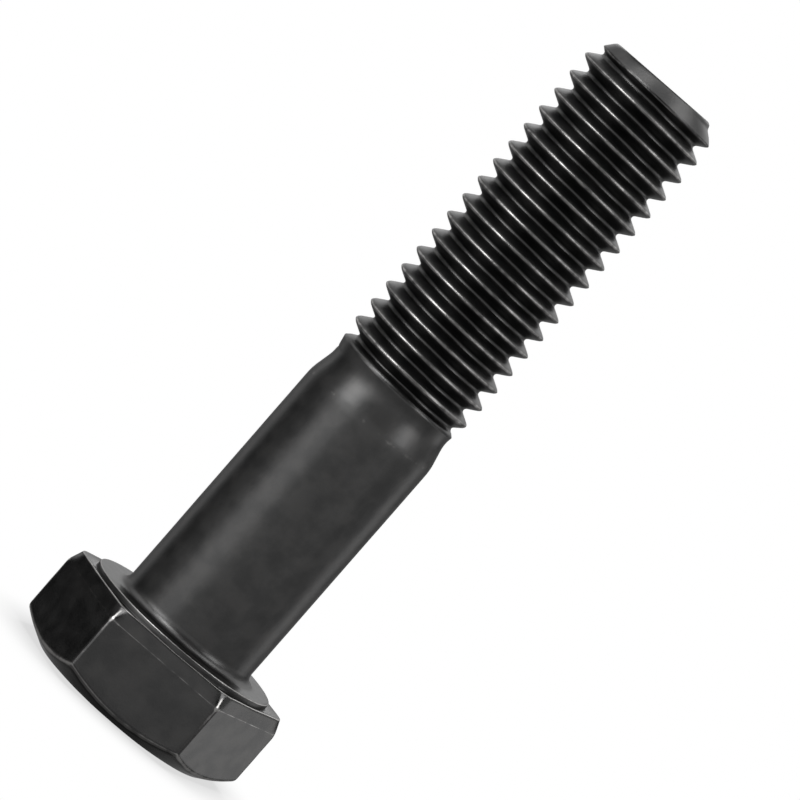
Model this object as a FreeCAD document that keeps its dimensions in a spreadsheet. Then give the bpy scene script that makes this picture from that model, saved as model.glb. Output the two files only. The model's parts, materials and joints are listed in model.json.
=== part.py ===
import FreeCAD, Part

import math
import os

import Sketcher

# Hexagon head bolt, M12 x 55 size, in the black finish, with a plain shank and a rolled thread.
# The bolt is one forged piece, so the document holds one body, built up feature by feature in the
# order a bolt maker works: washer face, trimmed hexagon, shank, and the thread last.
#
# Frame: millimetres, +Z runs along the shank to the thread end. The origin is the middle of the
# bearing face under the head, so the head lies below z = 0 and the bolt stands on its head.
# Two flats of the head face +Y and -Y, and two corners point along +X and -X.

# alias, value, what it is
SIZES = [
    ("shank_length", 55.0, "bearing face to thread end"),
    ("shank_dia", 11.86, "plain shank"),
    ("underhead_radius", 0.8, "fillet between shank and bearing face"),
    ("grip_length", 21.5, "bearing face to the end of the full shank"),
    ("neck_dia", 10.92, "blank that the thread is rolled on, seen at the neck"),
    ("neck_start", 23.55, "where the taper meets the neck"),
    ("neck_end", 23.9, "where the first thread ridge begins to rise"),
    ("full_crest_start", 26.3, "where the crests reach full height"),
    ("across_flats", 18.0, "wrench size"),
    ("corner_radius", 0.5, "rounding of the six long corners"),
    ("head_height", 7.6, "bearing face to top of the head"),
    ("head_top_dia", 16.1, "flat circle inside the top chamfer"),
    ("head_chamfer_angle", 31.0, "top chamfer, from the plane of the top"),
    ("chamfer_reach", 12.6, "how far out the chamfer tool reaches, past the corners"),
    ("trim_band_height", 1.2, "eased band along the bearing side of each flat"),
    ("trim_band_inset", 0.26, "how far the band leans in"),
    ("washer_face_dia", 16.8, "raised bearing ring"),
    ("washer_face_height", 0.35, "thickness of the bearing ring"),
    ("crest_dia", 11.82, "over the thread crests"),
    ("root_dia", 9.68, "at the bottom of the thread groove"),
    ("root_radius", 0.25, "rounding at the bottom of the groove"),
    ("flank_angle", 30.0, "half of the 60 degree thread angle"),
    ("thread_pitch", 1.75, "coarse pitch for this diameter"),
    ("thread_turns", 18, "turns cut, which run out past the thread end"),
    ("left_hand", 1, "1 cuts a left-hand thread, 0 the usual right-hand one"),
    ("groove_start_height", 25.4, "where the groove reaches full depth"),
    ("groove_start_turn", -115.0, "its direction from +X about +Z"),
    ("groove_overshoot", 0.1, "how far the groove tool stands above the crests"),
    ("runout_angle", 24.0, "how steeply the groove fades towards the shank"),
    ("point_dia", 9.1, "across the thread end before its edge is eased"),
    ("point_angle", 40.0, "cone at the thread end, from the axis"),
    ("point_edge_radius", 0.4, "easing of the end edge"),
]

POINT_RISE = "(Sizes.crest_dia - Sizes.point_dia) / 2 / tan(Sizes.point_angle * 1 deg)"
LEAST_CHANGE = 1e-3  # cubic millimetres; a feature that changes less has done nothing
ON_PLANE = 1e-4  # millimetres
CENTRE = FreeCAD.Vector(0, 0, 0)
UP = FreeCAD.Vector(0, 0, 1)
FULL_TURN = 360


def make_sheet(doc):
    """The driving dimensions, one to a row: name, value and what it is."""
    sheet = doc.addObject("Spreadsheet::Sheet", "Sizes")
    for row, (alias, value, meaning) in enumerate(SIZES, start=1):
        sheet.set(f"A{row}", alias)
        sheet.set(f"B{row}", str(value))
        sheet.set(f"C{row}", meaning)
        sheet.setAlias(f"B{row}", alias)
    doc.recompute()
    return sheet


def origin_feature(body, role):
    """A plane or axis of the body's own origin, by its role."""
    return next(feature for feature in body.Origin.OriginFeatures if feature.Role == role)


def new_sketch(body, name, role):
    """An empty sketch on one of the body's origin planes."""
    sketch = body.newObject("Sketcher::SketchObject", name)
    sketch.AttachmentSupport = [(origin_feature(body, role), "")]
    sketch.MapMode = "FlatFace"
    return sketch


def line(start, finish):
    """A straight sketch edge between two (across, up) points."""
    return Part.LineSegment(FreeCAD.Vector(*start, 0), FreeCAD.Vector(*finish, 0))


def circle(middle, radius):
    """A full circle about an (across, up) point of the sketch."""
    return Part.Circle(FreeCAD.Vector(*middle, 0), UP, radius)


def dimension(sketch, name, constraint, expression):
    """Adds a named size to the sketch and binds it to the sheet."""
    index = sketch.addConstraint(constraint)
    sketch.renameConstraint(index, name)
    sketch.setExpression(f"Constraints.{name}", expression)


def across(sketch, name, element, vertex, expression):
    """Distance of a sketch point from the axis."""
    drawn = sketch.getPoint(element, vertex).x
    dimension(sketch, name, Sketcher.Constraint("DistanceX", -1, 1, element, vertex, drawn), expression)


def up(sketch, name, element, vertex, expression):
    """Height of a sketch point above the bearing face."""
    drawn = sketch.getPoint(element, vertex).y
    dimension(sketch, name, Sketcher.Constraint("DistanceY", -1, 1, element, vertex, drawn), expression)


def join(sketch, first, second):
    """Ties the end of one sketch edge to the start of another."""
    sketch.addConstraint(Sketcher.Constraint("Coincident", first, 2, second, 1))


def edges_where(shape, test):
    """Names of the shape's edges that pass the test, as a dress-up feature wants them."""
    return [f"Edge{i}" for i, edge in enumerate(shape.Edges, start=1) if test(edge)]


def check_change(body, feature, before, grows):
    """Stops if a feature failed, or didn't add or remove material as it should."""
    body.Tip = feature
    body.Document.recompute()
    if feature.Shape.isNull() or not feature.Shape.isValid():
        raise RuntimeError(f"{feature.Name}: no valid shape")
    change = feature.Shape.Volume - before
    if (change if grows else -change) < LEAST_CHANGE:
        raise RuntimeError(f"{feature.Name}: volume changed by {change:.4f}")
    print(f"{feature.Name}: volume {feature.Shape.Volume:.2f}, change {change:+.2f}")
    return feature.Shape.Volume


def turned(body, kind, name, sketch):
    """A full Revolution or Groove of a sketch about the bolt's axis."""
    feature = body.newObject(kind, name)
    feature.Profile = sketch
    feature.ReferenceAxis = (origin_feature(body, "Z_Axis"), [""])
    feature.Angle = FULL_TURN
    return feature


def circle_sketch(body, name, radius, expression):
    """A circle about the axis, with its diameter bound to the sheet."""
    sketch = new_sketch(body, name, "XY_Plane")
    sketch.addGeometry(circle((0, 0), radius))
    sketch.addConstraint(Sketcher.Constraint("Coincident", 0, 3, -1, 1))
    dimension(sketch, "across", Sketcher.Constraint("Diameter", 0, 2 * radius), expression)
    return sketch


def hexagon_sketch(body, name, sheet):
    """A regular hexagon about the axis, with its first corner along +X."""
    sketch = new_sketch(body, name, "XY_Plane")
    radius = sheet.across_flats / 2 / math.cos(math.radians(30))
    turns = [math.radians(60 * i) for i in range(6)]
    corners = [(radius * math.cos(turn), radius * math.sin(turn)) for turn in turns]
    for i in range(6):
        sketch.addGeometry(line(corners[i], corners[(i + 1) % 6]))
    outline = sketch.addGeometry(circle((0, 0), radius), True)
    sketch.addConstraint(Sketcher.Constraint("Coincident", outline, 3, -1, 1))
    for i in range(6):
        join(sketch, i, (i + 1) % 6)
        sketch.addConstraint(Sketcher.Constraint("PointOnObject", i, 1, outline))
    for i in range(1, 6):
        sketch.addConstraint(Sketcher.Constraint("Equal", 0, i))
    sketch.addConstraint(Sketcher.Constraint("PointOnObject", 0, 1, -1))
    across_corners = Sketcher.Constraint("Diameter", outline, 2 * radius)
    dimension(sketch, "across_corners", across_corners, "Sizes.across_flats / cos(30 deg)")
    return sketch


def add_washer_face(body, sheet):
    """The bearing ring under the head, between the hexagon and z = 0."""
    pad = body.newObject("PartDesign::Pad", "washer_face")
    radius = sheet.washer_face_dia / 2
    pad.Profile = circle_sketch(body, "washer_face_outline", radius, "Sizes.washer_face_dia")
    pad.setExpression("Length", "Sizes.washer_face_height")
    pad.Reversed = True
    return check_change(body, pad, 0.0, grows=True)


def add_hexagon(body, volume, sheet):
    """The hexagon prism, from the ring to the top of the head."""
    sketch = hexagon_sketch(body, "head_outline", sheet)
    sketch.setExpression("AttachmentOffset.Base.z", "-Sizes.washer_face_height")
    pad = body.newObject("PartDesign::Pad", "hex_head")
    pad.Profile = sketch
    pad.setExpression("Length", "Sizes.head_height - Sizes.washer_face_height")
    pad.Reversed = True
    return check_change(body, pad, volume, grows=True)


def round_corners(body, volume, sheet):
    """The six long corners, which a forging die leaves rounded."""
    base = body.Tip

    def is_long_corner(edge):
        if len(edge.Vertexes) != 2:
            return False
        start, finish = (vertex.Point for vertex in edge.Vertexes)
        upright = math.hypot(start.x - finish.x, start.y - finish.y) < ON_PLANE
        return upright and math.hypot(start.x, start.y) > sheet.across_flats / 2 + ON_PLANE

    fillet = body.newObject("PartDesign::Fillet", "head_corners")
    fillet.Base = (base, edges_where(base.Shape, is_long_corner))
    fillet.setExpression("Radius", "Sizes.corner_radius")
    return check_change(body, fillet, volume, grows=False)


def add_trim_band(body, volume, sheet):
    """The shallow band that leans in along the bearing side of the hexagon."""
    base = body.Tip
    underside = -sheet.washer_face_height

    def is_bearing_side(edge):
        box = edge.BoundBox
        level = abs(box.ZMin - underside) < ON_PLANE and abs(box.ZMax - underside) < ON_PLANE
        middle = edge.valueAt((edge.FirstParameter + edge.LastParameter) / 2)
        return level and math.hypot(middle.x, middle.y) > sheet.across_flats / 2 - ON_PLANE

    chamfer = body.newObject("PartDesign::Chamfer", "trim_band")
    chamfer.Base = (base, edges_where(base.Shape, is_bearing_side))
    chamfer.ChamferType = "Two distances"
    chamfer.FlipDirection = True
    chamfer.setExpression("Size", "Sizes.trim_band_height")
    chamfer.setExpression("Size2", "Sizes.trim_band_inset")
    return check_change(body, chamfer, volume, grows=False)


def cut_head_chamfer(body, volume, sheet):
    """The cone that takes the corners off the top of the head."""
    sketch = new_sketch(body, "head_chamfer_profile", "XZ_Plane")
    inner, outer, top = sheet.head_top_dia / 2, sheet.chamfer_reach, -sheet.head_height
    angle = math.radians(sheet.head_chamfer_angle)
    corners = [(inner, top), (outer, top), (outer, top + (outer - inner) * math.tan(angle))]
    for i in range(3):
        sketch.addGeometry(line(corners[i], corners[(i + 1) % 3]))
    level, upright, slope = range(3)
    for i in range(3):
        join(sketch, i, (i + 1) % 3)
    sketch.addConstraint(Sketcher.Constraint("Horizontal", level))
    sketch.addConstraint(Sketcher.Constraint("Vertical", upright))
    across(sketch, "top_radius", level, 1, "Sizes.head_top_dia / 2")
    across(sketch, "reach", level, 2, "Sizes.chamfer_reach")
    up(sketch, "top_height", level, 1, "-Sizes.head_height")
    lean = Sketcher.Constraint("Angle", level, 1, slope, 2, angle)
    dimension(sketch, "lean", lean, "Sizes.head_chamfer_angle * 1 deg")
    groove = turned(body, "PartDesign::Groove", "head_chamfer", sketch)
    return check_change(body, groove, volume, grows=False)


def draw_shank_outline(sketch, sheet):
    """Half of the shank's section, drawn round from the middle of the bearing face."""
    full, neck, crest, point = (
        dia / 2 for dia in (sheet.shank_dia, sheet.neck_dia, sheet.crest_dia, sheet.point_dia)
    )
    ease, end = sheet.underhead_radius, sheet.shank_length
    cone_start = end - (crest - point) / math.tan(math.radians(sheet.point_angle))
    sketch.addGeometry(line((0, 0), (full + ease, 0)))
    fillet = circle((full + ease, ease), ease)
    sketch.addGeometry(Part.ArcOfCircle(fillet, math.pi, 1.5 * math.pi))
    corners = [
        (full, ease),
        (full, sheet.grip_length),
        (neck, sheet.neck_start),
        (neck, sheet.neck_end),
        (crest, sheet.full_crest_start),
        (crest, cone_start),
        (point, end),
        (0, end),
        (0, 0),
    ]
    for start, finish in zip(corners, corners[1:]):
        sketch.addGeometry(line(start, finish))


def add_shank(body, volume, sheet):
    """Fillet, full shank, neck, thread blank and point, turned about the axis."""
    sketch = new_sketch(body, "shank_profile", "XZ_Plane")
    draw_shank_outline(sketch, sheet)
    foot, arc, full, taper, ring, ridge, thread, cone, face, axis = range(10)
    sketch.addConstraint(Sketcher.Constraint("Coincident", foot, 1, -1, 1))
    sketch.addConstraint(Sketcher.Constraint("Coincident", foot, 2, arc, 2))
    sketch.addConstraint(Sketcher.Constraint("Tangent", arc, 1, full, 1))
    sketch.addConstraint(Sketcher.Constraint("Vertical", arc, 2, arc, 3))
    chain = [full, taper, ring, ridge, thread, cone, face, axis, foot]
    for first, second in zip(chain, chain[1:]):
        join(sketch, first, second)
    for level in (foot, face):
        sketch.addConstraint(Sketcher.Constraint("Horizontal", level))
    for upright in (full, ring, thread, axis):
        sketch.addConstraint(Sketcher.Constraint("Vertical", upright))
    ease = Sketcher.Constraint("Radius", arc, sheet.underhead_radius)
    dimension(sketch, "underhead", ease, "Sizes.underhead_radius")
    across(sketch, "shank_radius", full, 1, "Sizes.shank_dia / 2")
    up(sketch, "grip", full, 2, "Sizes.grip_length")
    across(sketch, "neck_radius", ring, 1, "Sizes.neck_dia / 2")
    up(sketch, "neck_from", ring, 1, "Sizes.neck_start")
    up(sketch, "neck_to", ring, 2, "Sizes.neck_end")
    across(sketch, "crest_radius", thread, 1, "Sizes.crest_dia / 2")
    up(sketch, "crest_from", thread, 1, "Sizes.full_crest_start")
    across(sketch, "point_radius", cone, 2, "Sizes.point_dia / 2")
    up(sketch, "end_height", cone, 2, "Sizes.shank_length")
    up(sketch, "cone_from", cone, 1, f"Sizes.shank_length - {POINT_RISE}")
    revolution = turned(body, "PartDesign::Revolution", "shank", sketch)
    return check_change(body, revolution, volume, grows=True)


def ease_end(body, volume, sheet):
    """The rounded edge of the end face."""
    base = body.Tip

    def is_end_edge(edge):
        return edge.Closed and abs(edge.BoundBox.ZMin - sheet.shank_length) < ON_PLANE

    fillet = body.newObject("PartDesign::Fillet", "point_edge")
    fillet.Base = (base, edges_where(base.Shape, is_end_edge))
    fillet.setExpression("Radius", "Sizes.point_edge_radius")
    return check_change(body, fillet, volume, grows=False)


def draw_groove(sketch, sheet):
    """The V of the groove: a round bottom, two flanks and a mouth just above the crests."""
    flank = math.radians(sheet.flank_angle)
    bottom, height = sheet.root_radius, sheet.groove_start_height
    centre = sheet.root_dia / 2 + bottom
    mouth = sheet.crest_dia / 2 + sheet.groove_overshoot
    low, high = math.pi / 2 + flank, 1.5 * math.pi - flank
    foot, foot_rise = centre + bottom * math.cos(low), bottom * math.sin(low)
    mouth_rise = foot_rise + (mouth - foot) * math.tan(flank)
    sketch.addGeometry(Part.ArcOfCircle(circle((centre, height), bottom), low, high))
    corners = [
        (foot, height + foot_rise),
        (mouth, height + mouth_rise),
        (mouth, height - mouth_rise),
        (foot, height - foot_rise),
    ]
    for start, finish in zip(corners, corners[1:]):
        sketch.addGeometry(line(start, finish))


def groove_sketch(body, sheet):
    """The 60 degree V of the thread groove, turned to where the groove reaches full depth."""
    sketch = new_sketch(body, "groove_profile", "XZ_Plane")
    draw_groove(sketch, sheet)
    arc, upper, mouth, lower = range(4)
    sketch.addConstraint(Sketcher.Constraint("Tangent", arc, 1, upper, 1))
    sketch.addConstraint(Sketcher.Constraint("Tangent", arc, 2, lower, 2))
    join(sketch, upper, mouth)
    join(sketch, mouth, lower)
    sketch.addConstraint(Sketcher.Constraint("Vertical", mouth))
    sketch.addConstraint(Sketcher.Constraint("Equal", upper, lower))
    bottom = Sketcher.Constraint("Radius", arc, sheet.root_radius)
    dimension(sketch, "bottom", bottom, "Sizes.root_radius")
    across(sketch, "middle", arc, 3, "Sizes.root_dia / 2 + Sizes.root_radius")
    up(sketch, "height", arc, 3, "Sizes.groove_start_height")
    across(sketch, "reach", mouth, 1, "Sizes.crest_dia / 2 + Sizes.groove_overshoot")
    flank = Sketcher.Constraint("Angle", -1, 1, upper, 1, math.radians(sheet.flank_angle))
    dimension(sketch, "upper_flank", flank, "Sizes.flank_angle * 1 deg")
    about_bolt_axis = FreeCAD.Vector(0, 1, 0)
    turn = FreeCAD.Rotation(about_bolt_axis, sheet.groove_start_turn)
    sketch.AttachmentOffset = FreeCAD.Placement(CENTRE, turn)
    sketch.setExpression("AttachmentOffset.Rotation.Angle", "Sizes.groove_start_turn * 1 deg")
    return sketch


def cut_thread(body, volume, sheet):
    """The rolled thread: a full-depth groove, then one turn where it fades into the neck."""
    sketch = groove_sketch(body, sheet)
    for name, turns, angle, down in (
        ("thread", "Sizes.thread_turns", "0 deg", False),
        ("thread_runout", "1", "Sizes.runout_angle * 1 deg", True),
    ):
        helix = body.newObject("PartDesign::SubtractiveHelix", name)
        helix.Profile = sketch
        helix.ReferenceAxis = (origin_feature(body, "Z_Axis"), [""])
        helix.Mode = "pitch-turns-angle"
        helix.setExpression("Pitch", "Sizes.thread_pitch")
        helix.setExpression("Turns", turns)
        helix.setExpression("Angle", angle)
        helix.setExpression("LeftHanded", "Sizes.left_hand == 1")
        helix.Reversed = down
        volume = check_change(body, helix, volume, grows=False)


def check_document(doc, body):
    """Stops if any object failed, or the bolt isn't one valid solid."""
    doc.recompute()
    for item in doc.Objects:
        if "Invalid" in item.State or "Error" in item.State:
            raise RuntimeError(f"{item.Name}: {item.State}")
    if body.Shape.isNull() or not body.Shape.isValid() or len(body.Shape.Solids) != 1:
        raise RuntimeError(f"{body.Label}: not one valid solid")


def make_bolt(doc, sheet):
    """The whole bolt, as one body at the origin of the frame."""
    body = doc.addObject("PartDesign::Body", "hex_bolt")
    body.Label = "hex_bolt"
    body.Placement = FreeCAD.Placement(CENTRE, FreeCAD.Rotation())
    volume = add_washer_face(body, sheet)
    volume = add_hexagon(body, volume, sheet)
    volume = round_corners(body, volume, sheet)
    volume = add_trim_band(body, volume, sheet)
    volume = cut_head_chamfer(body, volume, sheet)
    volume = add_shank(body, volume, sheet)
    volume = ease_end(body, volume, sheet)
    cut_thread(body, volume, sheet)
    return body


def main():
    os.makedirs("parts", exist_ok=True)
    doc = FreeCAD.newDocument("HexBolt")
    sheet = make_sheet(doc)
    bolt = make_bolt(doc, sheet)
    check_document(doc, bolt)
    bolt.Shape.exportStep(f"parts/{bolt.Label}.step")


main()
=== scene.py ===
import json
import math

import bpy
import numpy as np
from mathutils import Matrix, Vector, noise


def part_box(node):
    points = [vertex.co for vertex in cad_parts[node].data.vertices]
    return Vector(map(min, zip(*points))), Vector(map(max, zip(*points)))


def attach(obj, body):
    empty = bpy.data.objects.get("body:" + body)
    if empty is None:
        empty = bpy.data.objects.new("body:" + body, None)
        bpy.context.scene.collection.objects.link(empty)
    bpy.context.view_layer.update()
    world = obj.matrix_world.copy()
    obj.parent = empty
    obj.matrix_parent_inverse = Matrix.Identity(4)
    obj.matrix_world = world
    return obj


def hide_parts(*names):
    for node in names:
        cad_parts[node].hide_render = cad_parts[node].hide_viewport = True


# An M12 hexagon bolt in satin black oxide, standing on its head. Z runs along the shank.
# Lengths are in millimetres until a mesh, light or camera is made, and angles are in degrees.

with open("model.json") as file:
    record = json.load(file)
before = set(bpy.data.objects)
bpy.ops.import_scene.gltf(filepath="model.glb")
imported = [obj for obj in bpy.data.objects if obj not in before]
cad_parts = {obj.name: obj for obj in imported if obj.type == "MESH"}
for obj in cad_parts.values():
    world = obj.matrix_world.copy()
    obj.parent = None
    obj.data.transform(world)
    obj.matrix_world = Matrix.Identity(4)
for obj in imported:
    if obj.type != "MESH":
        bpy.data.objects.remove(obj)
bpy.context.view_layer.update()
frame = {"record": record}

MM = 0.001
NODE = "hex_bolt"
SLOT = "black_steel"
MOUNTS = {mount["name"]: mount for mount in frame["record"]["mounts"]}

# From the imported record
SHANK_R = MOUNTS["shank"]["dims"]["r_mm"]
CREST_R = MOUNTS["thread"]["dims"]["r_mm"]
HALF_FLATS = MOUNTS["wrench_flat_back"]["pos_m"][1] / MM
HEAD_TOP = MOUNTS["head_top"]["pos_m"][2] / MM
THREAD_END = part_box(NODE)[1].z / MM

# Head
SECTOR = 60  # from one corner of the hexagon to the next
CORNER_ROUND = 0.5
BAND_HEIGHT = 1.2  # the trimmed band along the bearing side of the flats
BAND_INSET = 0.24
BAND_ROUND = 0.5
EASED_CORNER_R = 9.82  # what the trim leaves of the corners at the bearing side
EASED_CORNER_ROUND = 1.4
EASED_CORNER_SOFTENING = 0.15
BEARING_EDGE_ROUND = 0.11
WASHER_R = 8.4
WASHER_HEIGHT = 0.35
WASHER_EDGE_ROUND = 0.1
WASHER_ROOT = 0.2  # how far the face around the washer ring hollows towards it
WASHER_ROOT_ROUND = 0.06
CHAMFER_R = 8.05
CHAMFER_ANGLE = 31
CHAMFER_ROUND = 0.5
HEAD_TOP_ROUND = 0.3
HEAD_TOP_CENTRE_R = 1.0  # the innermost row of the head's top
UNDERHEAD_ROUND = 0.8

# Shank and thread
PITCH = 1.75
GRIP = 21.5
NECK_R = 5.46
NECK_START = 23.55
NECK_END = 23.9
FULL_CREST = 26.3
TAPER_SOFTENING = 0.5
TAPER_SAMPLES = 9
ROOT_R = 4.84
ROOT_ROUND = 0.25
FLANK = 30
FIRST_SOFTENING = 0.05  # of the ridge where it begins to rise
CREST_SOFTENING = 0.32
CREST_HEIGHT = 51.97  # a crest's height where it crosses the +X side
GROOVE_FULL = 25.4  # where the groove reaches its full depth
RUNOUT_ANGLE = 24
POINT_R = 4.55
POINT_ANGLE = 40
POINT_SOFTENING = 0.08
POINT_ROUND = 0.4

# Wear and painted shade, as the material reads it: 0 is whole skin, 1 and more a rubbed edge, below 0
# painted shade in the crevice at the washer's root
WASHER_EDGE_WEAR = 1.1
# painted shade: this value darkens the skin to near black in the crevice at the washer's root
PAINTED_SHADE_AT_ROOT = -1.0
BEARING_EDGE_WEAR = 1.2
BAND_WEAR = 0.7
CHAMFER_WEAR = 1.1
HEAD_TOP_WEAR = 0.5
LONG_CORNER_WEAR = 0.4
LONG_CORNER_EXTRA_WEAR = 0.5  # added at the bearing side
FIRST_RIDGE_WEAR = 0.3
RIDGE_EXTRA_WEAR = 0.5  # added where the ridge has its full height
TAPER_WEAR = 0.4

# Unevenness of the skin
WAVE_SIZE = 4.0
WAVE_DEPTH = 0.006
HEAD_EXTRA_WAVE_DEPTH = 0.010
RIPPLE_SIZE = 1.3
RIPPLE_DEPTH = 0.004
NICK_SIZE = 0.7
NICK_DEPTH = 0.05
NICK_LEVEL = 0.25  # the noise that a nick starts at, so that most of an edge has none
NICK_PLACE = 50  # moves the nicks' noise away from the waves'

# Mesh density
COLUMNS_PER_CORNER = 34
COLUMNS_ON_ROUND = 5  # on each half of a rounded corner
COLUMN_BESIDE_ROUND = 0.6
PITCH_ROWS = (0, 0.022, 0.045, 0.075, 0.12, 0.24, 0.37, 0.415, 0.458)  # share of a pitch above a crest
LAST_RIDGE_ROW = 0.815  # where the last ridge meets the point's cone
FIRST_PITCH = -18  # pitches from the crest at CREST_HEIGHT, down to the plain shank
LAST_PITCH = 3  # and up, over the point and onto the end face
RING = 17.8  # height of the plain ring where the thread's helical rows meet the head's level rows
ROUND_STEPS = 4


def smoothstep(low, high, value):
    """0 below low, 1 above high and a soft ramp between them."""
    t = np.clip((value - low) / (high - low), 0, 1)
    return t * t * (3 - 2 * t)


def soft_min(a, b, width):
    """The smaller of two values, rounded where they cross."""
    near = np.maximum(width - np.abs(a - b), 0) / width
    return np.minimum(a, b) - near * near * width / 4


def turn_from_corner(turns):
    """Angle from the nearest corner of the hexagon."""
    return (turns + SECTOR / 2) % SECTOR - SECTOR / 2


def corner_centre():
    """Distance from the axis to the middle of a corner's rounding."""
    return (HALF_FLATS - CORNER_ROUND) / math.cos(math.radians(SECTOR / 2))


def rounding_half_turn():
    """Half of the angle that a rounded corner takes up, seen from the axis."""
    half = math.radians(SECTOR / 2)
    reach = corner_centre() + CORNER_ROUND * math.cos(half)
    return math.degrees(math.atan2(CORNER_ROUND * math.sin(half), reach))


def hexagon_radius(turns):
    """Distance from the axis to the hexagon with rounded corners."""
    off = np.radians(np.abs(turn_from_corner(turns)))
    on_flat = HALF_FLATS / np.cos(math.radians(SECTOR / 2) - off)
    inside = np.maximum(CORNER_ROUND**2 - (corner_centre() * np.sin(off)) ** 2, 0)
    on_round = corner_centre() * np.cos(off) + np.sqrt(inside)
    return np.where(np.degrees(off) < rounding_half_turn(), on_round, on_flat)


def column_turns():
    """Directions of the mesh's columns, close together where the hexagon's corners are."""
    half = rounding_half_turn()
    near = [half * i / COLUMNS_ON_ROUND for i in range(1, COLUMNS_ON_ROUND + 1)]
    near.append(half + COLUMN_BESIDE_ROUND)
    plain = COLUMNS_PER_CORNER - 2 * len(near)
    first, last = near[-1], SECTOR - near[-1]
    between = [first + (last - first) * i / plain for i in range(1, plain)]
    sector = [0, *near, *between, *(SECTOR - turn for turn in reversed(near))]
    return np.array([corner + turn for corner in range(0, 360, SECTOR) for turn in sector])


def rounding(before, here, after, radius):
    """Where the rounding of a profile's corner starts and finishes, and its half turn's cosine."""
    heading = (here - before) / np.linalg.norm(here - before, axis=1, keepdims=True)
    leaving = (after - here) / np.linalg.norm(after - here, axis=1, keepdims=True)
    cosine = np.clip(np.sum(heading * leaving, axis=1, keepdims=True), -1, 1)
    half = np.arccos(cosine) / 2
    setback = radius * np.tan(half)
    return here - heading * setback, here + leaving * setback, np.cos(half)


def eased_path(corners):
    """Rows of a lathe profile with rounded corners, and how worn each row is, or below 0 how much painted
    shade it gets.

    A corner is its place, its rounding, its wear or painted shade and the number of rows on the way to it.
    The place is an array of (across, up), a column of the mesh to a line.
    """
    rows, worn = [corners[0][0]], [0.0]
    run_start = corners[0][0]
    for k, (here, radius, wear_and_shade, run) in enumerate(corners[1:], start=1):
        last = k == len(corners) - 1
        start = here
        if not last:
            start, finish, weight = rounding(corners[k - 1][0], here, corners[k + 1][0], radius)
        for i in range(1, run + 2):
            share = (1 - math.cos(math.pi * i / (run + 1))) / 2
            rows.append(run_start + (start - run_start) * share)
            worn.append(0.0)
        if last:
            break
        for i in range(1, ROUND_STEPS + 1):
            t = i / ROUND_STEPS
            a, b, c = (1 - t) ** 2, 2 * t * (1 - t) * weight, t * t
            rows.append((a * start + b * here + c * finish) / (a + b + c))
            worn.append(wear_and_shade * math.sin(math.pi * t))
        run_start = finish
    return np.array(rows), np.array(worn)


def head_profile(turns):
    """Rows from the plain shank down over the fillet, the bearing ring and the hexagon to its top."""
    hexagon = hexagon_radius(turns)
    band_top = soft_min(hexagon - BAND_INSET, EASED_CORNER_R, EASED_CORNER_SOFTENING)
    band_low = -WASHER_HEIGHT - BAND_HEIGHT
    eased = smoothstep(BAND_INSET, hexagon.max() - EASED_CORNER_R, hexagon - band_top)
    band_round = (BAND_ROUND + (EASED_CORNER_ROUND - BAND_ROUND) * eased)[:, None]
    chamfer_start = HEAD_TOP + (hexagon - CHAMFER_R) * math.tan(math.radians(CHAMFER_ANGLE))

    def at(across, up):
        return np.stack([across * np.ones_like(turns), up * np.ones_like(turns)], axis=1)

    rows, worn = eased_path([
        (at(SHANK_R, RING), 0, 0, 0),
        (at(SHANK_R, 0), UNDERHEAD_ROUND, 0, 16),
        (at(WASHER_R, 0), WASHER_EDGE_ROUND, WASHER_EDGE_WEAR, 3),
        # painted shade, not wear, at the washer ring's root
        (at(WASHER_R, -WASHER_HEIGHT - WASHER_ROOT), WASHER_ROOT_ROUND, PAINTED_SHADE_AT_ROOT, 1),
        (at(band_top, -WASHER_HEIGHT), BEARING_EDGE_ROUND, BEARING_EDGE_WEAR, 2),
        (at(hexagon, band_low), band_round, BAND_WEAR, 4),
        (at(hexagon, chamfer_start), CHAMFER_ROUND, CHAMFER_WEAR, 14),
        (at(CHAMFER_R, HEAD_TOP), HEAD_TOP_ROUND, HEAD_TOP_WEAR, 2),
        (at(HEAD_TOP_CENTRE_R, HEAD_TOP), 0, 0, 4),
    ])
    across, up = rows[:, :, 0], rows[:, :, 1]
    on_corner = 1 - smoothstep(0, rounding_half_turn(), np.abs(turn_from_corner(turns)))
    on_side = smoothstep(0, 0.5, -WASHER_HEIGHT - up) * smoothstep(WASHER_R, HALF_FLATS, across)
    near_bearing = smoothstep(-4, -1, up)
    rubbed = LONG_CORNER_WEAR + LONG_CORNER_EXTRA_WEAR * near_bearing
    return rows, worn[:, None] + rubbed * on_corner * on_side


def blank_radius(height):
    """The shank before threading: full, tapered to the neck, up to the crests, then the point's cone."""
    cone_start = THREAD_END - (CREST_R - POINT_R) / math.tan(math.radians(POINT_ANGLE))
    heights = [GRIP, NECK_START, NECK_END, FULL_CREST]
    radii = [SHANK_R, NECK_R, NECK_R, CREST_R]
    window = np.linspace(-TAPER_SOFTENING, TAPER_SOFTENING, TAPER_SAMPLES)
    turned = sum(np.interp(height + shift, heights, radii) for shift in window) / TAPER_SAMPLES
    cone = CREST_R - (height - cone_start) * math.tan(math.radians(POINT_ANGLE))
    return soft_min(turned, cone, POINT_SOFTENING)


def point_path(along):
    """Radius and height of the blank, followed over the cone and its rounded edge onto the end face."""
    turn = math.radians(90 - POINT_ANGLE)
    setback = POINT_ROUND * math.tan(turn / 2)
    round_start = THREAD_END - setback * math.cos(math.radians(POINT_ANGLE))
    round_length = POINT_ROUND * turn
    round_angle = np.clip((along - round_start) / POINT_ROUND, 0, turn) + math.radians(POINT_ANGLE)
    middle = POINT_R - setback
    on_round = middle + POINT_ROUND * np.cos(round_angle)
    height = THREAD_END - POINT_ROUND + POINT_ROUND * np.sin(round_angle)
    on_face = middle - np.maximum(along - round_start - round_length, 0)
    radius = np.where(along < round_start, blank_radius(along), on_round)
    radius = np.where(along > round_start + round_length, on_face, radius)
    return radius, np.where(along < round_start, along, height)


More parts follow.
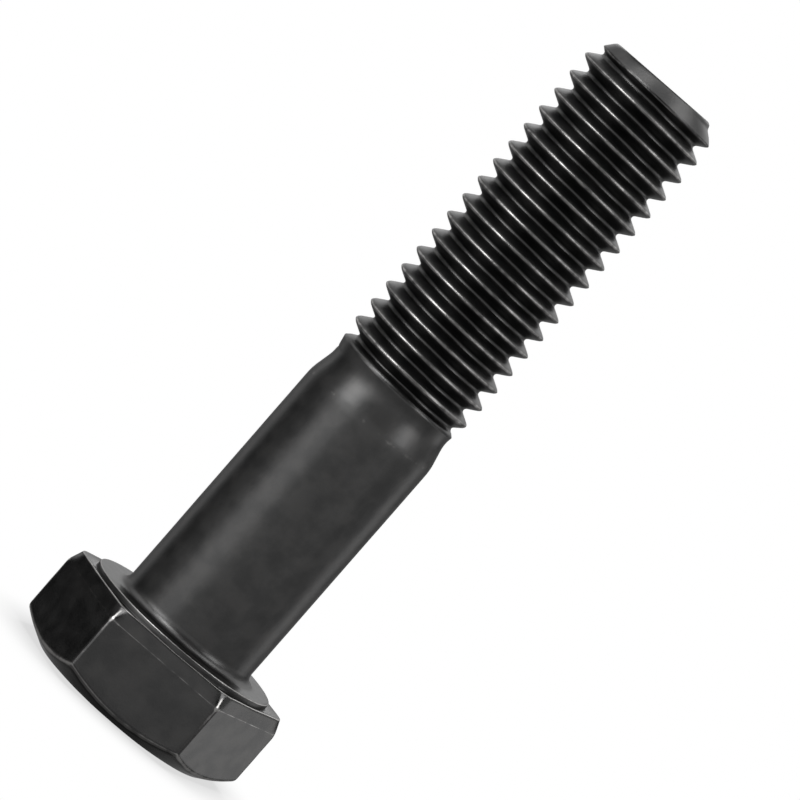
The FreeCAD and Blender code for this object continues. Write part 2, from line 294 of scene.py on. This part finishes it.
def groove_radius(away, height):
    """The V of the thread groove with its round bottom, at a distance along Z from its middle."""
    slope = 1 / math.tan(math.radians(FLANK))
    apex = ROOT_R + ROOT_ROUND - ROOT_ROUND / math.sin(math.radians(FLANK))
    flank = apex + np.abs(away) * slope
    inside = np.maximum(ROOT_ROUND**2 - away**2, 0)
    bottom = ROOT_R + ROOT_ROUND - np.sqrt(inside)
    in_bottom = np.abs(away) < ROOT_ROUND * math.cos(math.radians(FLANK))
    rise = np.maximum(GROOVE_FULL - height, 0) * math.tan(math.radians(RUNOUT_ANGLE))
    return np.where(in_bottom, bottom, flank) + rise


def ridge_wear(groove, blank):
    """1 along the top of a ridge and 0 in the groove, from the radii of the groove and the blank.

    The ridge's land lies where the groove's V is outside the blank, and its flanks where it is
    inside. The worn line is wider on the full crests than on the edge of the point's cone.
    """
    inside = groove - blank
    full = smoothstep(0.3, 0.05, CREST_R - blank)
    on_land = 1 - smoothstep(0.2 * full, 0.3 + 0.15 * full, inside)
    on_flank = 1 - smoothstep(0.0, 0.25 - 0.19 * full, -inside)
    cut = smoothstep(0.1, 0.5, blank - ROOT_R)
    return np.where(inside > 0, on_land, on_flank) * cut


def thread_surface(along, turns):
    """Radius, height and wear of the threaded shank."""
    blank, height = point_path(along)
    phase = (height - CREST_HEIGHT) / PITCH + turns / 360
    from_crest = np.abs((phase + 0.5) % 1 - 0.5)
    groove = groove_radius((0.5 - from_crest) * PITCH, height)
    started = smoothstep(NECK_END, FULL_CREST, height)
    softening = FIRST_SOFTENING + (CREST_SOFTENING - FIRST_SOFTENING) * started
    ridge = ridge_wear(groove, blank) * (FIRST_RIDGE_WEAR + RIDGE_EXTRA_WEAR * started)
    taper = TAPER_WEAR * (1 - smoothstep(0.0, 0.4, np.abs(height - GRIP)))
    return soft_min(groove, blank, softening), height, np.maximum(ridge, taper)


def helical_rows():
    """The rows' places up the thread, in pitches, close together on the crests and in the grooves."""
    above = sorted([*PITCH_ROWS, 0.5, LAST_RIDGE_ROW, *(1 - share for share in PITCH_ROWS[1:])])
    pitches = range(FIRST_PITCH, LAST_PITCH)
    return np.array([pitch + share for pitch in pitches for share in above]), len(above)


def bolt_faces(columns, head_rows, thread_rows, per_pitch):
    """Faces of the whole bolt. The last vertices carry the thread's first column one pitch down."""
    thread_first = head_rows * columns
    low_first = thread_first + thread_rows * columns

    def ring(row, column):
        return row * columns + column % columns

    def thread(row, column):
        if column < columns:
            return thread_first + row * columns + column
        row -= per_pitch
        return thread_first + row * columns if row >= 0 else low_first + row + per_pitch

    faces = []
    for row in range(head_rows - 1):
        for column in range(columns):
            upper = (ring(row, column + 1), ring(row, column))
            faces.append((ring(row + 1, column), ring(row + 1, column + 1), *upper))
    for row in range(thread_rows - 1):
        for column in range(columns):
            upper = (thread(row + 1, column + 1), thread(row + 1, column))
            faces.append((thread(row, column), thread(row, column + 1), *upper))
    for column in range(1, columns):
        upper = (thread(0, column + 1), thread(0, column))
        faces.append((ring(0, column), ring(0, column + 1), *upper))
    faces.append((ring(0, 0), ring(0, 1), thread(0, 1), low_first))
    side = [low_first + i for i in range(per_pitch)] + [thread_first]
    faces += [(lower, thread(0, 1), upper) for lower, upper in zip(side, side[1:])]
    top = thread_rows - 1
    seam = [thread(row, columns) for row in range(top, top + per_pitch)]
    faces.append([thread(top, column) for column in range(columns)] + seam)
    faces.append([ring(head_rows - 1, column) for column in reversed(range(columns))])
    return faces


def bolt_surface():
    """Vertices, faces and wear of the whole bolt, with painted shade at the washer's root, in millimetres.

    The head and shank are level rings. The thread's rows follow its helix, so its last column is
    joined, at the +X side, to the next pitch of its first one.
    """
    turns = column_turns()
    head, head_wear_and_shade = head_profile(turns)
    phases, per_pitch = helical_rows()
    along = CREST_HEIGHT + PITCH * (phases[:, None] - turns[None, :] / 360)
    radius, height, crest = thread_surface(along, turns[None, :])
    low_along = CREST_HEIGHT + PITCH * (phases[:per_pitch] - 1)
    low_radius, low_height, low_crest = thread_surface(low_along, 0.0)

    across = np.concatenate([head[:, :, 0].ravel(), radius.ravel(), low_radius])
    up = np.concatenate([head[:, :, 1].ravel(), height.ravel(), low_height])
    rows = len(head) + len(phases)
    around = np.radians(np.concatenate([np.tile(turns, rows), np.zeros(per_pitch)]))
    vertices = np.stack([across * np.cos(around), across * np.sin(around), up], axis=1)
    wear_and_shade = np.concatenate([head_wear_and_shade.ravel(), crest.ravel(), low_crest])
    return vertices, bolt_faces(len(turns), len(head), len(phases), per_pitch), wear_and_shade


def noise_at(points, size):
    """Smooth noise between -1 and 1 at each point, with features of the given size."""
    return np.array([noise.noise(Vector(point) / size) for point in points])


def unevenness(points, wear_and_shade):
    """How far the forged and rolled skin stands out at each point: waves, and nicks on the edges."""
    on_head = smoothstep(0.2, -0.4, points[:, 2])
    waves = noise_at(points, WAVE_SIZE) * (WAVE_DEPTH + HEAD_EXTRA_WAVE_DEPTH * on_head)
    ripples = noise_at(points, RIPPLE_SIZE) * RIPPLE_DEPTH
    nicked = np.maximum(noise_at(points + NICK_PLACE, NICK_SIZE) - NICK_LEVEL, 0)
    return waves + ripples - nicked * NICK_DEPTH * np.minimum(wear_and_shade, 1)


def make_bolt():
    """The bolt's visible mesh, with its wear and painted shade as an attribute that the material reads."""
    points, faces, wear_and_shade = bolt_surface()
    mesh = bpy.data.meshes.new("hex_bolt_skin")
    mesh.from_pydata(points.tolist(), [], faces)
    mesh.update()
    normals = np.empty(len(points) * 3)
    mesh.vertex_normals.foreach_get("vector", normals)
    points = points + normals.reshape(-1, 3) * unevenness(points, wear_and_shade)[:, None]
    mesh.vertices.foreach_set("co", (points * MM).ravel())
    mesh.polygons.foreach_set("use_smooth", [True] * len(mesh.polygons))
    attribute = mesh.attributes.new("wear_and_shade", "FLOAT", "POINT")
    attribute.data.foreach_set("value", wear_and_shade)
    mesh.update()
    bolt = bpy.data.objects.new("hex_bolt_skin", mesh)
    bpy.context.collection.objects.link(bolt)
    return bolt


# ---- material ----

# Sizes of the material's noises
MOTTLE_SIZE = 1.6
GRAIN_SIZE = 0.16
DRAWN_LINE_SIZE = 0.35
DRAWN_STRETCH = 0.06  # the lines' noise along the bolt, as a share of that across it
PATCH_SIZE = 0.8

# Brightness of the colours
DARK_SKIN = 0.048
PALE_SKIN = 0.062
BARE_STEEL = 0.22
# painted shade: near-black skin for the crevice at the washer's root
PAINTED_SHADE_COLOUR = 0.006

GRAIN_DEPTH = 0.014


def set_socket(tree, socket, value):
    """Gives a socket a value, or links another node's output to it."""
    if isinstance(value, bpy.types.NodeSocket):
        tree.links.new(value, socket)
    else:
        socket.default_value = value


def add_node(tree, kind, inputs=None, **settings):
    """A shader node with its settings and socket values; a socket value can be another's output."""
    node = tree.nodes.new(kind)
    for name, value in settings.items():
        setattr(node, name, value)
    for name, value in (inputs or {}).items():
        set_socket(tree, node.inputs[name], value)
    return node


def add_noise(tree, place, size, detail=3.0, roughness=0.5):
    """Noise between 0 and 1 with features of the given size in millimetres."""
    inputs = {"Vector": place, "Scale": 1 / (size * MM), "Detail": detail, "Roughness": roughness}
    return add_node(tree, "ShaderNodeTexNoise", inputs).outputs["Fac"]


def add_range(tree, value, low, high, to_low, to_high):
    """Maps low..high to to_low..to_high with a soft step."""
    inputs = {"Value": value, "From Min": low, "From Max": high, "To Min": to_low, "To Max": to_high}
    node = add_node(tree, "ShaderNodeMapRange", inputs, interpolation_type="SMOOTHSTEP")
    return node.outputs["Result"]


def add_math(tree, operation, first, second):
    """A sum, difference or product of two values."""
    node = add_node(tree, "ShaderNodeMath", operation=operation)
    set_socket(tree, node.inputs[0], first)
    set_socket(tree, node.inputs[1], second)
    return node.outputs[0]


def add_mix(tree, factor, first, second):
    """Mixes two colours by a factor."""
    node = add_node(tree, "ShaderNodeMix", {"Factor": factor}, data_type="RGBA")
    set_socket(tree, node.inputs[6], first)
    set_socket(tree, node.inputs[7], second)
    return node.outputs[2]


def grey(level, warmth=0.0):
    """An almost neutral colour; warmth moves a little of it from blue to red."""
    return (level * (1 + warmth), level, level * (1 - warmth), 1)


def black_oxide():
    """Satin black oxide on steel: mottled skin, fine grain, drawn lines, edges worn to bare metal, and
    painted shade in the crevice at the washer's root.
    """
    material = bpy.data.materials.new(SLOT)
    material.use_nodes = True
    tree = material.node_tree
    shader = tree.nodes["Principled BSDF"]
    place = add_node(tree, "ShaderNodeTexCoord").outputs["Object"]
    drawn = add_node(tree, "ShaderNodeMapping", {"Vector": place, "Scale": (1, 1, DRAWN_STRETCH)}).outputs[0]

    mottle = add_noise(tree, place, MOTTLE_SIZE, detail=4)
    grain = add_noise(tree, place, GRAIN_SIZE, detail=2)
    lines = add_noise(tree, drawn, DRAWN_LINE_SIZE, detail=2)
    patches = add_noise(tree, place, PATCH_SIZE, detail=3)

    edge_wear_and_shade = add_node(tree, "ShaderNodeAttribute", attribute_name="wear_and_shade").outputs["Fac"]
    worn_here = add_math(tree, "ADD", edge_wear_and_shade, add_math(tree, "MULTIPLY", patches, 1.2))
    worn = add_range(tree, worn_here, 1.0, 1.65, 0.0, 1.0)

    pale = add_range(tree, mottle, 0.3, 0.7, 0.0, 1.0)
    skin = add_mix(tree, pale, grey(DARK_SKIN), grey(PALE_SKIN, 0.01))
    # Painted shade: below 0 the attribute darkens the skin to near black at the washer's root.
    painted_shade = add_range(tree, edge_wear_and_shade, -0.8, 0.0, 1.0, 0.0)
    skin = add_mix(tree, painted_shade, skin, grey(PAINTED_SHADE_COLOUR))
    tree.links.new(add_mix(tree, worn, skin, grey(BARE_STEEL, 0.02)), shader.inputs["Base Color"])
    shader.inputs["Metallic"].default_value = 1.0
    shader.inputs["Specular Tint"].default_value = grey(0.5)

    up = add_node(tree, "ShaderNodeSeparateXYZ", {"Vector": place}).outputs["Z"]
    on_hexagon = add_range(tree, up, -0.6 * MM, -WASHER_HEIGHT * MM, 1.0, 0.0)
    satin = add_range(tree, mottle, 0.2, 0.8, 0.32, 0.38)
    pressed = add_math(tree, "MULTIPLY", on_hexagon, 0.12)
    rubbed = add_math(tree, "ADD", pressed, add_math(tree, "MULTIPLY", worn, 0.04))
    tree.links.new(add_math(tree, "SUBTRACT", satin, rubbed), shader.inputs["Roughness"])

    height = add_math(tree, "ADD", grain, add_math(tree, "MULTIPLY", lines, 0.8))
    relief = {"Height": height, "Strength": 0.25, "Distance": GRAIN_DEPTH * MM}
    bump = add_node(tree, "ShaderNodeBump", relief)
    tree.links.new(bump.outputs["Normal"], shader.inputs["Normal"])
    return material


# ---- studio ----

CAMERA_TURN = -2.536
CAMERA_HEIGHT_ANGLE = 4.64
CAMERA_ROLL = 41.09
CAMERA_DISTANCE = 378
CAMERA_LENS = 225.55
LOOK_ACROSS = 0.724
LOOK_UP = 24.015
FLOOR_HALF_SIZE = 20000
PAINTED_SHADOW_REACH = 6  # how far around the head the painted contact shadow darkens the floor
# the floor's glow where the painted contact shadow is darkest
PAINTED_SHADOW_LIGHT = 0.7

# The surround's light by the sine of its height angle: weak above, stronger below, weak straight down
LIGHT_FROM_ABOVE = 0.04
LIGHT_FROM_BELOW = 0.55
LIGHT_IN_SHADOW = 0.15
BELOW_STARTS = -0.15
BELOW_FULL = -0.35
SHADOW_STARTS = -0.55
SHADOW_FULL = -0.85


def direction(turn, height_angle):
    """A unit vector; turn 0 is towards the viewer (-Y) and positive turns go towards +X."""
    turn, height_angle = math.radians(turn), math.radians(height_angle)
    level = math.cos(height_angle)
    return Vector((math.sin(turn) * level, -math.cos(turn) * level, math.sin(height_angle)))


def make_camera():
    """The camera, turned about its line of sight so that the bolt lies slanted in the picture."""
    back = direction(CAMERA_TURN, CAMERA_HEIGHT_ANGLE)
    side = Vector((0, 0, 1)).cross(back).normalized()
    up = back.cross(side)
    roll = math.radians(CAMERA_ROLL)
    right = side * math.cos(roll) + up * math.sin(roll)
    top = up * math.cos(roll) - side * math.sin(roll)
    target = (side * LOOK_ACROSS + Vector((0, 0, LOOK_UP))) * MM
    data = bpy.data.cameras.new("camera")
    data.sensor_width = 36
    data.lens = CAMERA_LENS
    data.clip_start = 0.01
    data.clip_end = 20
    camera = bpy.data.objects.new("camera", data)
    bpy.context.collection.objects.link(camera)
    placed = Matrix((right, top, back)).transposed().to_4x4()
    placed.translation = target + back * CAMERA_DISTANCE * MM
    camera.matrix_world = placed
    bpy.context.scene.camera = camera


LIGHT_DISTANCE = 800

# A ring of softboxes around the bolt, weak on the left side, and more of them above the ring:
# name, turn, height angle, width, height, brightness
LIGHTS = [
    ("left_side", -87, 4, 560, 500, 0.3),
    ("key_low", -47, 4, 560, 500, 2.3),
    ("front", -2, 4, 740, 500, 0.82),
    ("front_right", 48, 4, 740, 500, 0.72),
    ("right_side", 103, 4, 850, 500, 0.62),
    ("right_flat", 123, -8, 280, 300, 2.05),
    ("right_back", 153, 14, 560, 330, 1.1),
    ("left_back", -167, 14, 560, 330, 1.7),
    ("back_low", 173, -8, 1300, 220, 0.42),
    ("left_rim", -137, 4, 280, 500, 2.2),
    ("key", -52, 24, 420, 300, 5.6),
    ("key_high", -47, 54, 290, 320, 12.0),
    ("fill", 60, 26, 350, 340, 5.0),
    ("back_high", 168, 28, 760, 340, 2.5),
    ("left_high", -125, 38, 760, 340, 1.6),
    ("right_high", 120, 38, 560, 340, 1.5),
    ("overhead", -90, 76, 460, 900, 1.95),
    ("overhead_right", 95, 62, 460, 300, 4.2),
]


def make_light(name, turn, height_angle, width, height, brightness):
    """A softbox that faces the middle of the bolt."""
    middle = Vector((0, 0, LOOK_UP * MM))
    away = direction(turn, height_angle)
    data = bpy.data.lights.new(name, "AREA")
    data.shape = "RECTANGLE"
    data.size = width * MM
    data.size_y = height * MM
    data.energy = brightness * math.pi * data.size * data.size_y
    light = bpy.data.objects.new(name, data)
    light.location = middle + away * LIGHT_DISTANCE * MM
    light.rotation_euler = away.to_track_quat("Z", "Y").to_euler()
    light.visible_camera = False
    bpy.context.collection.objects.link(light)


def make_world():
    """A white surround for the camera. It lights the bolt weakly, more from below as a pale floor does."""
    world = bpy.data.worlds.new("studio")
    bpy.context.scene.world = world
    world.use_nodes = True
    tree = world.node_tree
    toward = add_node(tree, "ShaderNodeTexCoord").outputs["Generated"]
    up = add_node(tree, "ShaderNodeSeparateXYZ", {"Vector": toward}).outputs["Z"]
    below = add_range(tree, up, SHADOW_FULL, SHADOW_STARTS, LIGHT_IN_SHADOW, LIGHT_FROM_BELOW)
    light = add_range(tree, up, BELOW_FULL, BELOW_STARTS, below, LIGHT_FROM_ABOVE)
    seen = add_node(tree, "ShaderNodeLightPath").outputs["Is Camera Ray"]
    background = tree.nodes["Background"]
    background.inputs["Color"].default_value = grey(1.0)
    tree.links.new(add_range(tree, seen, 0, 1, light, 1.0), background.inputs["Strength"])


def make_floor():
    """A white floor under the head, a little darker close around it with a painted contact shadow, wide
    enough for every view.
    """
    size = FLOOR_HALF_SIZE * MM
    mesh = bpy.data.meshes.new("floor")
    corners = [(-size, -size), (size, -size), (size, size), (-size, size)]
    mesh.from_pydata([(x, y, HEAD_TOP * MM) for x, y in corners], [], [(0, 1, 2, 3)])
    floor = bpy.data.objects.new("floor", mesh)
    bpy.context.collection.objects.link(floor)
    material = bpy.data.materials.new("floor")
    material.use_nodes = True
    tree = material.node_tree
    tree.nodes.remove(tree.nodes["Principled BSDF"])
    reach = {"Distance": PAINTED_SHADOW_REACH * MM}
    # Painted contact shadow: the floor's glow dims where ambient occlusion finds the head close by.
    uncovered = add_node(tree, "ShaderNodeAmbientOcclusion", reach).outputs["AO"]
    light = add_range(tree, uncovered, 0.3, 1.0, PAINTED_SHADOW_LIGHT, 1.0)
    glow = add_node(tree, "ShaderNodeEmission", {"Color": grey(1.0), "Strength": light})
    tree.links.new(glow.outputs[0], tree.nodes["Material Output"].inputs["Surface"])
    mesh.materials.append(material)
    floor.visible_glossy = False
    floor.visible_shadow = False


def main():
    make_camera()
    bolt = make_bolt()
    bolt.data.materials.append(black_oxide())
    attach(bolt, "root")
    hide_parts(NODE)
    make_floor()
    make_world()
    for light in LIGHTS:
        make_light(*light)
    bpy.context.scene.view_settings.view_transform = "Standard"


main()
